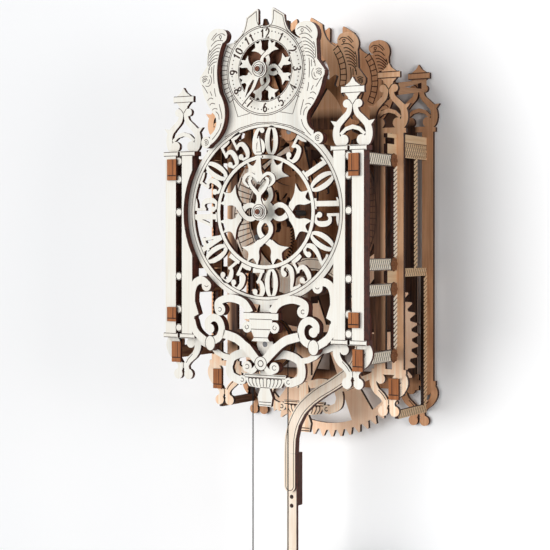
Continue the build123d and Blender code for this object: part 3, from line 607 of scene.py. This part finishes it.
def hour_figures():
    tall, wide, gap, radius, pen_width = 6.2, 3.2, 4.3, 26.6, 1.2
    lines = []
    for hour in range(1, 13):
        text = str(hour)
        upside_down = 4 <= hour <= 8
        level = -radius if upside_down else radius
        turn = 180 - 30 * hour if upside_down else -30 * hour
        for i, sign in enumerate(text):
            shift = gap * (i - (len(text) - 1) / 2) - wide / 2
            placed = [(shift + wide * u, level + tall * (v - 0.5)) for u, v in hour_strokes[sign]]
            lines += spun([(placed, pen_width, False)], turn)
        for k in range(1, 5):
            lines += spun(ring(0, radius + 1.6, 0.25, 0.44), -30 * hour - 6 * k)
    return moved(lines, 0, hour_z)


def hour_dial_lines():
    lines = ring(0, 0, 31.2) + ring(0, 0, 32.4) + ring(0, 0, 22.6)
    half = stroke((7.3, 42.8), (14.8, 38.2)) + smooth((14.8, 38.2), (17.9, 28.2), (26.4, 20.6))
    half += stroke((7.3, 42.8), (7.0, 37.0)) + arc(0, 37.3, 7.0, -90, 0)
    half += stroke((28.6, -16.6), (23.0, -32.4), (12.8, -30.4))
    lines = moved(lines + mirrored(half), 0, hour_z)
    return lines + mirrored(rungs(32.4, 37.2, -36, 32, 5.6)) + arc(0, 0, 64.6, 58, 122)


# Trim and scroll lines
def trim_lines():
    half = arc(46.4, -52.6, 1.7, 205, 335) + arc(34.8, -70.6, 1.4, 40, 320) + arc(11.6, -82.6, 1.4, 100, 400)
    half += arc(11.4, -111.0, 1.6, 30, 320) + ellipse(oval_x, oval_z, 4.3, 5.5)
    for x, z in ((14.4, -72.2), (9.4, -76.8), (8.2, -84.0), (5.6, -89.9)):
        half += stroke((0, z), (x, z))
    lines = ring(0, -108.4, 5.0) + ring(0, -108.4, 2.2, 0.6)
    for z in bead_heights:
        half += ring(pilaster_x, z, 2.6)
    for cap in (front_cap, front_low):
        for way in (-1, 1):
            for edge in (-1.4, 1.4):
                half += stroke((pilaster_x + way * 1.4, cap + edge), (pilaster_x + way * 13.4, cap + edge))
    return lines + mirrored(half)


def ring_band_lines():
    # radial strokes on the broad ring of a plate behind the dial
    half = []
    for i in range(13):
        a = radians(-26 + 52 * i / 12)
        half += stroke((49.0 * cos(a), 49.0 * sin(a)), (61.6 * cos(a), 61.6 * sin(a)))
    return mirrored(half + arc(0, 0, 49.0, -28, 28) + arc(0, 0, 61.6, -28, 28))


engrave("trim_engraving", "frame", front(0), trim_lines())
engrave("wing_engraving", "frame", front(0), mirrored(wing_lines()))
engrave("panel_engraving", "frame", front(panel_y),
        post_lines(front_cap, front_low) + bowl_lines() + ring(0, 0, 63.3, 0.45))
engrave("hour_dial_engraving", "frame", front(panel_y), hour_dial_lines() + hour_figures())
middle_ovals = ring(oval_x, oval_z + middle_drop, 3.6) + ring(oval_x, oval_z + middle_drop, 1.6)
middle_lines = post_lines(middle_cap, middle_low) + moved(bowl_lines(), 0, middle_drop)
middle_lines += mirrored(feather_lines()) + ring_band_lines() + mirrored(middle_ovals)
engrave("middle_engraving", "frame", front(middle_y), wider(middle_lines, 0.7), soft_ink)
back_lines = post_lines(back_cap, back_low) + mirrored(feather_lines())
engrave("back_engraving", "frame", front(back_y), wider(back_lines, 0.75), soft_ink)


# Minute dial and hand, cut smooth: a pen line has a width at each point, a dot is filled
def pen(*points):
    return smooth(*points, steps=6)


def loop(x, z, outer, inner):
    # an upright oval ring, heavier at its sides
    wide, tall = (outer[0] + inner[0]) / 2, (outer[1] + inner[1]) / 2
    side_width, end_width = outer[0] - inner[0], outer[1] - inner[1]
    points = []
    for i in range(40):
        a = 2 * pi * i / 40
        points.append((x + wide * cos(a), z + tall * sin(a), hypot(side_width * cos(a), end_width * sin(a))))
    return [(points, 0, True)]


def dot(x, z, radius):
    return [(ring(x, z, radius)[0][0], None, True)]


def fret(name, body, depth, thickness, paths, material):
    verts, faces = [], []
    for i, path in enumerate(paths):
        lift = 0.004 * (i % 7)
        filled = path[1] is None
        build, form = (add_blade, path[0]) if filled else (add_ribbon, path)
        build(verts, faces, form, front(depth), lift, -thickness - lift)
    return mesh_piece(name, verts, faces, material, body)


def minute_figures():
    wide, tall, radius = 5.4, 10.75, 51.15
    belly = [(wide - 1.9, 0.4 - tall / 2, 4.0), (1.8, 1.7 - tall, 2.8), (-1.6, 1.6 - tall, 2.2),
             (2.2 - wide, 4.4 - tall, 2.4)]
    ball = dot(2.4 - wide, 4.4 - tall, 2.1)
    figures = {
        "0": loop(0, 0, (wide, tall), (1.6, tall - 2)),
        "1": stroke((0, -tall), (0, tall), width=3.8)
        + stroke((1.6 - wide, 1 - tall), (wide - 1.6, 1 - tall), width=2)
        + pen((0.6, tall - 1.2, 2.4), (-1.8, tall - 2.4, 1.8), (1 - wide, tall - 3.4, 0.8)),
        "2": pen((1.9 - wide, tall - 5.8, 3.4), (-2.4, tall - 2, 2.4), (1.4, tall - 1.4, 2.6),
                 (wide - 2, tall - 5.8, 4), (1.6, -0.8, 3.2), (-2.2, 4.6 - tall, 2.2),
                 (1.4 - wide, 1.4 - tall, 2))
        + dot(2.4 - wide, tall - 6, 2.1)
        + pen((0.8 - wide, 1.3 - tall, 2.4), (-1.4, 2.1 - tall, 3.4), (2, 1.6 - tall, 3),
              (wide - 0.5, 2.7 - tall, 1.8)),
        "3": stroke((0.6 - wide, tall - 1.7), (wide - 0.6, tall - 1.7), width=3.4)
        + stroke((wide - 2, tall - 1.6), (-0.6, 0.2), width=2.2)
        + pen((-1.6, 0.4, 1.8), (1.6, 0.6, 2.8), *belly) + ball,
        "4": stroke((2.3, -tall), (2.3, tall), width=3.8)
        + stroke((-wide, 5.8 - tall), (wide, 5.8 - tall), width=2.4)
        + stroke((2, tall - 0.6), (1.2 - wide, 5.6 - tall), width=2.2)
        + stroke((-1.4, 1 - tall), (5.4, 1 - tall), width=2),
        "5": pen((1.5 - wide, tall - 2.2, 2.6), (0.6, tall - 1.9, 3.6), (wide - 0.6, tall - 1.3, 2.4))
        + stroke((2.4 - wide, -0.4), (2.4 - wide, tall - 1.6), width=2)
        + pen((2.2 - wide, 0.2, 2), (-0.6, 2.1, 2.6), (2.6, 0.8, 3.6), *belly) + ball,
        "6": loop(0, 1 - tall / 2, (wide, tall / 2 + 1), (2, tall / 2 - 1))
        + dot(wide - 2.4, tall - 3.2, 1.9)
        + pen((1.8 - wide, 0.6 - tall / 2, 3.6), (2.2 - wide, 1.6, 3.4), (-1.4, tall - 4, 2.8),
              (1.2, tall - 1.6, 2.2), (wide - 2.2, tall - 2.6, 2.2)),
    }
    paths = []
    for value in range(5, 65, 5):
        upside_down = 20 <= value <= 40
        level = -radius if upside_down else radius
        text = str(value)
        for i, sign in enumerate(text):
            placed = moved(figures[sign], 2 * wide * (i - (len(text) - 1) / 2), level)
            paths += spun(placed, 180 - 6 * value if upside_down else -6 * value)
    return paths


knot_arm = [(-1.6, 6.0, 3.6), (-4.8, 10.8, 3.6), (-4.0, 15.8, 3.9), (0, 19.8, 4.4), (5.2, 23.0, 5.2)]


def tulip():
    # a three-pointed flower end with hollow sides
    runs = (((2.2, 21.8), (5.0, 27.6), (4.8, 33.0), (6.6, 38.8)),
            ((6.6, 38.8), (10.0, 33.4), (15.2, 36.2)),
            ((15.2, 36.2), (14.2, 29.2), (20.0, 25.2)),
            ((20.0, 25.2), (13.8, 24.4), (9.8, 22.8), (6.0, 20.0)))
    points = []
    for run in runs:
        points += smooth(*run)[0][0][:-1]
    return [(points + [(6.0, 20.0)], None, True)]


def scaled(paths, size, pen_size):
    return [([(u * size, v * size, *[w * pen_size for w in pen]) for u, v, *pen in points], width, closed)
            for points, width, closed in paths]


def knot(size=1.0, pen_size=1.0):
    petal = mirrored(scaled(pen(*knot_arm) + tulip(), size, pen_size))
    return ring(0, 0, 5.2 * size, 5.6 * size) + [path for i in range(4) for path in spun(petal, 90 * i)]


def knot_lines(size=1.0, pen_size=1.0):
    # where one ribbon passes over the other
    left, right = borders(scaled(pen(*knot_arm), size, pen_size)[0])
    lines = [(left[11:22], line_width, False), (right[11:22], line_width, False)]
    return [path for i in range(4) for path in spun(lines, 90 * i)]


def heart_hand():
    half = pen((0.6, 12.6, 3.2), (4.0, 15.8, 2.9), (7.0, 19.6, 2.6), (7.6, 22.6, 2.3), (5.6, 24.3, 1.6))
    half += pen((0, 21.8, 2.6), (3.2, 25.0, 2.3), (7.4, 27.2, 2.4), (11.2, 25.6, 2.8), (12.4, 21.6, 2.4),
                (8.0, 17.6, 1.2))
    middle = pen((0, 4.5, 7.2), (0, 8.0, 4.0), (0, 10.5, 3.6), (0, 14.0, 4.8))
    middle += pen((0, 22.6, 4.6), (0, 26.0, 6.4), (0, 30.0, 4.4), (0, 38.4, 3.0))
    middle += stroke((-2.8, 39.2), (2.8, 39.2), width=1.6) + stroke((-2.6, 41.6), (2.6, 41.6), width=1.4)
    middle += pen((0, 38.4, 3.2), (0, 44.0, 3.4), (0, 49.0, 2.2), (0, 54.0, 0.3))
    return ring(0, 0, 4.1, 4.2) + mirrored(half) + middle


minute_paths = ring(0, 0, 62.1, 2.4) + ring(0, 0, 39.9, 3.0) + minute_figures() + knot()
minute_fret = fret("minute_dial_fret", "frame", panel_y, ply, minute_paths, birch)
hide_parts("minute_dial")
hand_fret = fret("minute_hand_fret", "minute", hand_y, hand_ply, heart_hand(), birch)
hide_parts("minute_hand")
hour_reach, minute_reach = 22.0, 38.4
hour_share, hour_pen_share, skin = hour_reach / minute_reach, 0.72, 0.01
hour_paths = moved(knot(hour_share, hour_pen_share), 0, hour_z)
fret("hour_knot", "frame", panel_y - skin, ply + 2 * skin, hour_paths, birch)
hour_knot_lines = moved(knot_lines(hour_share, hour_pen_share), 0, hour_z)
engrave("hour_knot_engraving", "frame", front(panel_y), hour_knot_lines)
engrave("minute_dial_engraving", "frame", front(panel_y), knot_lines() + ring(0, 0, 41.2) + ring(0, 0, 60.9))


# Hands and hubs
engrave("minute_hand_engraving", "minute", front(hand_y),
        ring(0, 0, 5.2) + stroke((-2.6, 40.4), (2.6, 40.4)) + stroke((-2.2, 42.6), (2.2, 42.6)))
engrave("minute_cap_engraving", "minute", front(hand_y - hand_ply), ring(0, 0, 3.1, 0.45))
engrave("hour_hand_engraving", "hour", front(hand_y), ring(0, hour_z, 5.2))
engrave("hour_cap_engraving", "hour", front(hand_y - hand_ply), ring(0, hour_z, 3.1, 0.45))


# Arbor ends at the dials: a steel pin with a chamfer and a wooden plug
def lathe(name, z, profile, material, body):
    # a solid of revolution about a level line, from depths and radii front to back
    sides, verts, faces = 32, [], []
    for y, radius in profile:
        for i in range(sides):
            a = 2 * pi * i / sides
            verts.append(place(radius * cos(a), y, z + radius * sin(a)))
    for k in range(len(profile) - 1):
        for i in range(sides):
            j = (i + 1) % sides
            faces.append((k * sides + i, k * sides + j, (k + 1) * sides + j, (k + 1) * sides + i))
    faces.append(list(range(sides)))
    faces.append([(len(profile) - 1) * sides + i for i in reversed(range(sides))])
    return mesh_piece(name, verts, faces, material, body)


pin_front, pin_radius, plug_radius = hand_y - 3.0, 2.0, 1.75
for body, z, back in (("minute", 0.0, wall_y), ("hour", hour_z, 16.5)):
    pin_profile = ((pin_front + 0.5, plug_radius), (pin_front + 0.75, pin_radius), (back, pin_radius))
    pin = lathe(body + "_pin", z, pin_profile, steel, body)
    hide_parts(body + "_arbor")
    plug_profile = ((pin_front, 1.5), (pin_front + 0.2, plug_radius), (pin_front + 0.9, plug_radius))
    plug = lathe(body + "_plug", z, plug_profile, dowel, body)
    engrave(body + "_plug_engraving", body, front(pin_front + line_lift), ring(0, z, 0.8))


# Pendulum
def beside(points, offset):
    # a smooth line at one side of another
    line = smooth(*points)[0][0]
    out = []
    for i, (u, v) in enumerate(line):
        a, b = line[max(0, i - 1)], line[min(len(line) - 1, i + 1)]
        size = hypot(b[0] - a[0], b[1] - a[1]) or 1.0
        out.append((u - offset * (b[1] - a[1]) / size, v + offset * (b[0] - a[0]) / size))
    return [(out, line_width, False)]


arm_line = [(9, -39.6), (18, -37.6), (36, -41.5), (52, -55.0), (60, -75.0), (59.5, -96.0), (53, -112.0),
            (38, -123.8), (22.5, -133.2), (10, -144.0), (3, -156.0), (0.4, -167.0), (0, -178.0),
            (0, arm_end)]
arm_inset = 3.3
engrave("arm_engraving", "pendulum", front(arm_y),
        beside(arm_line, arm_inset) + beside(arm_line, -arm_inset) + arc(0, arm_end, arm_inset, 180, 360))
engrave("rod_holes", "pendulum", front(rod_y), ring(0, -210.4, 0.8, 1.6) + ring(0, -217.0, 0.8, 1.6))
bob_lines = ring(0, 0, 21.0) + ring(0, 0, 19.6) + ring(0, 0, 6.0) + ring(0, 0, 4.6)
for i in range(12):
    petal = smooth((0, 7.0), (3.4, 12.0), (0, 19.0)) + smooth((0, 7.0), (-3.4, 12.0), (0, 19.0))
    bob_lines += spun(petal, 30 * i)
engrave("bob_engraving", "pendulum", front(arm_y), moved(bob_lines, 0, bob_z))


# Side frames
def hatch(y0, y1, z0, z1, step, lean, width):
    # slanting strokes across a bar, cut off at its border
    lines = []
    rise = z1 - z0
    run = lean * rise
    y = y0 - abs(run)
    while y < y1 + abs(run):
        first, last = sorted(((y0 - y) / run, (y1 - y) / run))
        first, last = max(0.0, first), min(1.0, last)
        if last - first > 0.15:
            start, end = [(y + run * share, z0 + rise * share) for share in (first, last)]
            lines += stroke(start, end, width=width)
        y += step
    return lines


def rope(name, ends, material):
    # a flat twisted-rope moulding on the uprights of both sides: slanting strands on a dark strip
    strand_width, strand_pitch, strand_rise = 2.0, 3.0, 3.0
    verts, faces, strip, strip_faces = [], [], [], []
    for sign in (1, -1):
        for y0, y1, z0, z1 in ends:
            middle = (y0 + y1) / 2
            backing = ([(middle, z0), (middle, z1)], y1 - y0 - 1.0, False)
            add_ribbon(strip, strip_faces, backing, side(sign), 0.12)
            run = z1 - z0 - strand_rise
            count = int(run / strand_pitch)
            for i in range(count + 1):
                z = z0 + run * i / count
                bends = ((y0, z + 0.2), (y0 + 1.4, z + 0.5), (y1 - 1.4, z + 2.5), (y1, z + 2.8))
                strand = smooth(*bends, steps=2)[0][0]
                add_ribbon(verts, faces, (strand, strand_width, False), side(sign), 0.5)
    mesh_piece(name + "_shadow", strip, strip_faces, ink, "frame")
    return mesh_piece(name, verts, faces, material, "frame")


def side_lines():
    # hatched rails of the front frames, and the crossed block and hatched bars of the rear ones
    rail_hatch = {"step": 3.2, "lean": 0.5, "width": 0.6}
    lines = []
    for low, high in ((-41.8, 41.3), (-107.6, -51.3)):
        for z in (low, high - 8.6):
            lines += hatch(panel_back + 0.6, middle_y - 11.0, z + 0.7, z + 7.9, **rail_hatch)
            for edge in (z + 0.3, z + 8.3):
                lines += stroke((panel_back, edge), (middle_y, edge))
    for lean in (0.6, -0.6):
        lines += hatch(middle_back, back_y, 40.6, 50.4, 3.4, lean, 0.42)
    lines += stroke((middle_back, 51.0), (back_y, 51.0), width=0.5)
    for z in (-46.6, -149.6):
        lines += hatch(middle_back, back_y, z, z + 5.2, **rail_hatch)
    return lines


for sign, word in ((1, "right"), (-1, "left")):
    engrave("side_engraving_" + word, "frame", side(sign), side_lines())
rope_width = 6.0
rope("front_rope", [(middle_y - rope_width, middle_y, *ends) for ends in ((-33.0, 32.5), (-98.8, -60.1))],
     birch_side)
rope("rear_rope", ((90.0, 90.0 + rope_width, -40.8, 39.8), (back_y - rope_width, back_y, -143.8, -47.2)),
     shaded_tan_side)


# Scalloped rosettes on the rails
def rosette(verts, faces, sign, y, z):
    # rings from the rim to the button in the middle, each a share of the radius and a height
    radius, petals, around = 5.3, 8, 48
    levels = ((1.0, 0.0), (1.0, 0.7), (0.9, 1.15), (0.55, 1.5), (0.34, 1.25), (0.26, 1.75), (0.12, 1.95))
    start = len(verts)
    for share, height in levels:
        for i in range(around):
            a = 2 * pi * i / around
            dip = 1 - abs(cos(petals * a / 2))
            lobe = 1 - 0.13 * dip if share > 0.4 else 1
            groove = 0.3 * dip if 0.4 < share < 0.95 else 0
            r = radius * share * lobe
            out = side_face + max(0, height - groove)
            verts.append(place(sign * out, y + r * cos(a), z + r * sin(a)))
    for k in range(len(levels) - 1):
        for i in range(around):
            j = (i + 1) % around
            a, b = start + around * k, start + around * (k + 1)
            faces.append((a + i, a + j, b + j, b + i))
    faces.append([start + i for i in range(around)])
    faces.append([start + around * (len(levels) - 1) + i for i in reversed(range(around))])


verts, faces = [], []
for sign in (1, -1):
    for z in (37.0, -37.5, -55.6, -103.3):
        rosette(verts, faces, sign, 56.6, z)
rosettes = mesh_piece("rosette_flowers", verts, faces, rosette_ply, "frame")
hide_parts("rosettes")


# Tenon clips: a dark gap across the lower end
def clip_lines(tall):
    gap_z = -tall * 0.28
    return stroke((-3.8, gap_z), (3.8, gap_z), width=0.8) + stroke((-1.3, gap_z), (-1.3, tall * 0.46))


# Each group of clips is a depth, and the height and length of each clip
clip_x = 76.0
clip_groups = ((-2.4, ((31.8, 15.6), (-75.1, 10.6))), (3.6, ((-103.2, 15.2),)), (59.6, ((-128.0, 15.2),)))
for depth, clips in clip_groups:
    lines = []
    for z, tall in clips:
        lines += mirrored(moved(clip_lines(tall), clip_x, z))
    engrave("clip_marks_%d" % round(depth + 3), "frame", front(depth), lines)


# Cords: three twisted strands that follow the route's own spline
def route_points(name, points):
    curve = bpy.data.curves.new(name, "CURVE")
    curve.dimensions = "3D"
    spline = curve.splines.new("NURBS")
    spline.points.add(len(points) - 1)
    for knot, point in zip(spline.points, points):
        knot.co = (*point, 1.0)
    spline.order_u = 3
    spline.use_endpoint_u = True
    spline.resolution_u = 12
    route = bpy.data.objects.new(name, curve)
    bpy.context.scene.collection.objects.link(route)
    bpy.context.view_layer.update()
    mesh = bpy.data.meshes.new_from_object(route)
    line = [v.co.copy() for v in mesh.vertices]
    bpy.data.objects.remove(route)
    bpy.data.meshes.remove(mesh)
    bpy.data.curves.remove(curve)
    return line


def twisted(name, line, radius, lay, material):
    # strands wound round a straight hanging route
    lengths = [0.0]
    for a, b in zip(line, line[1:]):
        lengths.append(lengths[-1] + (b - a).length)
    total, sides, strands, per_turn = lengths[-1], 6, 3, 8
    steps = int(total / lay * per_turn)
    centres, k = [], 0
    for i in range(steps + 1):
        d = total * i / steps
        while k < len(lengths) - 2 and lengths[k + 1] < d:
            k += 1
        t = (d - lengths[k]) / (lengths[k + 1] - lengths[k])
        centres.append(line[k].lerp(line[k + 1], t))
    verts, faces = [], []
    for strand in range(strands):
        start = len(verts)
        for i, centre in enumerate(centres):
            a = 2 * pi * (i / per_turn + strand / strands)
            middle = centre + Vector((cos(a), sin(a), 0)) * radius * 0.45
            for s in range(sides):
                b = 2 * pi * s / sides
                verts.append(middle + Vector((cos(b), sin(b), 0)) * radius * 0.55)
        for i in range(steps):
            for s in range(sides):
                a, b = start + i * sides, start + (i + 1) * sides
                t = (s + 1) % sides
                faces.append((a + s, a + t, b + t, b + s))
        faces.append([start + s for s in range(sides)])
        faces.append([start + steps * sides + s for s in reversed(range(sides))])
    return mesh_piece(name, verts, faces, material, None)


for word, x, body, node, with_nodes in (
        ("weight", -cord_x, "weight", "weight_cord", ("weight_hook", "drive_weight")),
        ("pull", cord_x, "ring", "pull_cord", ("pull_ring",))):
    heights = (great_z, great_z - 6.0, (great_z + weight_top) / 2, weight_top + 6.0, weight_top)
    line = route_points(word + "_route", [place(x, cord_y, z) for z in heights])
    piece = twisted(word + "_line", line, 0.0005 * cord_thick, 0.0034, cord_black)
    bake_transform(piece)
    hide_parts(node)


# Wall: seen from the front only, so that the back of the clock can be looked at
def wall_paint():
    # white, with deep shade where the clock covers it, and clear from behind
    s = Shader("wall_paint")
    cloud = s.noise((3, 3, 3), 2.0)
    split = s.node("SeparateXYZ")
    s.link(s.coords.outputs["Object"], split.inputs[0])
    behind = s.between(split.outputs["X"], -0.075, 0.066, 0.012)
    behind = s.times(behind, s.between(split.outputs["Z"], -0.19, 0.02, 0.015))
    white = s.ramp(cloud, (0.3, "fbfcfd"), (0.7, "fefefe"))
    shade = s.ramp(cloud, (0.3, "52392b"), (0.7, "6a4c3a"))
    s.link(s.mix(behind, white, shade), s.bsdf.inputs["Base Color"])
    s.bsdf.inputs["Roughness"].default_value = 0.9
    clear, geometry, either = s.node("BsdfTransparent"), s.node("NewGeometry"), s.node("MixShader")
    s.link(geometry.outputs["Backfacing"], either.inputs[0])
    s.link(s.bsdf.outputs[0], either.inputs[1])
    s.link(clear.outputs[0], either.inputs[2])
    s.link(either.outputs[0], s.out.inputs[0])
    return s.material


wall_reach, wall_gap = 3.0, 0.0004
corners = [(x * wall_reach, wall_gap, z * wall_reach) for x, z in ((-1, -1), (1, -1), (1, 1), (-1, 1))]
wall_mesh = bpy.data.meshes.new("wall")
wall_mesh.from_pydata(corners, [], [(0, 1, 2, 3)])
wall_mesh.materials.append(wall_paint())
wall = bpy.data.objects.new("wall", wall_mesh)
bpy.context.scene.collection.objects.link(wall)
wall.visible_diffuse = wall.visible_shadow = False

# World: a weak cool glow on the clock, and plain white for the camera and through clear surfaces
world = bpy.data.worlds.new("studio")
bpy.context.scene.world = world
world.use_nodes = True
sky = world.node_tree
sky.nodes.clear()
sky_out, ray, seen, choice, glow, white = [
    sky.nodes.new("ShaderNode" + kind)
    for kind in ("OutputWorld", "LightPath", "Math", "MixShader", "Background", "Background")]
glow.inputs[0].default_value = (0.8, 0.9, 1.0, 1.0)
glow.inputs[1].default_value = 0.19
white.inputs[0].default_value = (1.0, 1.0, 1.0, 1.0)
white.inputs[1].default_value = 1.0
seen.operation = "MAXIMUM"
for source, target in (
        (ray.outputs["Is Camera Ray"], seen.inputs[0]), (ray.outputs["Is Transmission Ray"], seen.inputs[1]),
        (seen.outputs[0], choice.inputs[0]), (glow.outputs[0], choice.inputs[1]),
        (white.outputs[0], choice.inputs[2]), (choice.outputs[0], sky_out.inputs[0])):
    sky.links.new(source, target)


# Lamps: a broad window from the left, a fill from the right and a weak light on the back
def add_lamp(name, kind, energy, color, way):
    lamp = bpy.data.lights.new(name, kind)
    lamp.energy = energy
    lamp.color = color
    holder = bpy.data.objects.new(name, lamp)
    bpy.context.scene.collection.objects.link(holder)
    holder.rotation_euler = Vector(way).to_track_quat("-Z", "Y").to_euler()
    return holder


window = add_lamp("window", "SUN", 2.7, (1.0, 0.98, 0.965), (0.47, 0.88, -0.06))
window.data.angle = radians(46)
rear = add_lamp("rear", "SUN", 0.8, (1.0, 0.97, 0.94), (0.25, -0.93, -0.2))
rear.data.angle = radians(60)
fill_place, fill_aim = Vector((0.95, -0.5, 0.0)), Vector((0.05, -0.05, -0.1))
fill = add_lamp("fill", "AREA", 4.4, (1.0, 0.98, 0.96), fill_aim - fill_place)
fill.location = fill_place
fill.data.size = 0.35
fill.visible_camera = False

# Camera: level, turned from the right, as fitted to the photograph
camera = bpy.data.cameras.new("camera")
camera.sensor_width = 36.0
camera.lens = 93.29
camera.shift_y = -0.0668
camera.clip_start, camera.clip_end = 0.05, 20.0
eye = bpy.data.objects.new("camera", camera)
bpy.context.scene.collection.objects.link(eye)
eye.location = (0.5328, -0.9834, -0.0929)
eye.rotation_euler = Vector((-0.5148, 0.8574, 0.0)).to_track_quat("-Z", "Y").to_euler()
bpy.context.scene.camera = eye
bpy.context.scene.view_settings.view_transform = "Standard"
